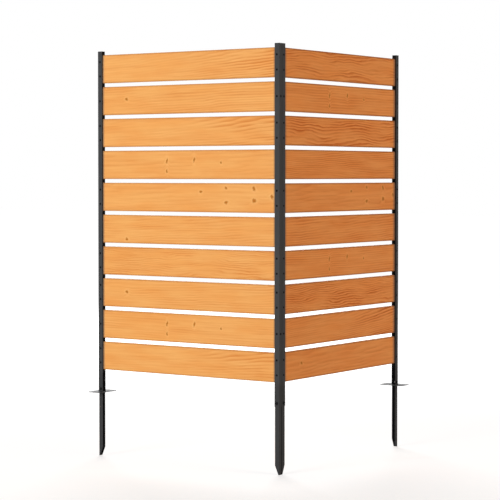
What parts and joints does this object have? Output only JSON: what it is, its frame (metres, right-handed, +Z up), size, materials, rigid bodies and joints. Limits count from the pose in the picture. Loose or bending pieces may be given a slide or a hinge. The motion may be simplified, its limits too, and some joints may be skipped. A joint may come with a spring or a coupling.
{
  "type": "air conditioner screen",
  "caption": "Free-standing L-shaped garden screen of wood-look slats in folded black steel posts on ground stakes, for hiding an outdoor air conditioner or bins.",
  "frame": {"origin": "middle of the whole footprint, at the height of the stake points", "axes": "+Z up; the left panel's front faces -Y and it runs along X; the right panel's front faces +X and it runs along Y from the corner at +X -Y"},
  "size_m": [0.7412, 0.756, 1.286],
  "materials": {
    "slat_wood": "warm honey wood grain running along the slat, satin",
    "black_coat": "black powder coat, fine texture",
    "plate_coat": "black powder coat, smoother",
    "strip_plastic": "moulded black plastic",
    "screw_coat": "black coated screw",
    "bare_steel": "zinc plated"
  },
  "bodies": {
    "root": {"left_outer_post": "black_coat", "left_outer_stake": "black_coat", "left_outer_spacer_strip": "strip_plastic", "left_outer_foot_plate": "plate_coat", "left_corner_post": "black_coat", "left_corner_stake": "black_coat", "left_corner_spacer_strip": "strip_plastic", "right_corner_post": "black_coat", "right_corner_stake": "black_coat", "right_corner_spacer_strip": "strip_plastic", "right_outer_post": "black_coat", "right_outer_stake": "black_coat", "right_outer_spacer_strip": "strip_plastic", "right_outer_foot_plate": "plate_coat", "stake_screws": "screw_coat", "corner_screws": "screw_coat", "stake_weld_nuts": "bare_steel", "left_slat_01": "slat_wood", "left_slat_02": "slat_wood", "left_slat_03": "slat_wood", "left_slat_04": "slat_wood", "left_slat_05": "slat_wood", "left_slat_06": "slat_wood", "left_slat_07": "slat_wood", "left_slat_08": "slat_wood", "left_slat_09": "slat_wood", "left_slat_10": "slat_wood", "right_slat_01": "slat_wood", "right_slat_02": "slat_wood", "right_slat_03": "slat_wood", "right_slat_04": "slat_wood", "right_slat_05": "slat_wood", "right_slat_06": "slat_wood", "right_slat_07": "slat_wood", "right_slat_08": "slat_wood", "right_slat_09": "slat_wood", "right_slat_10": "slat_wood"}
  },
  "joints": []
}
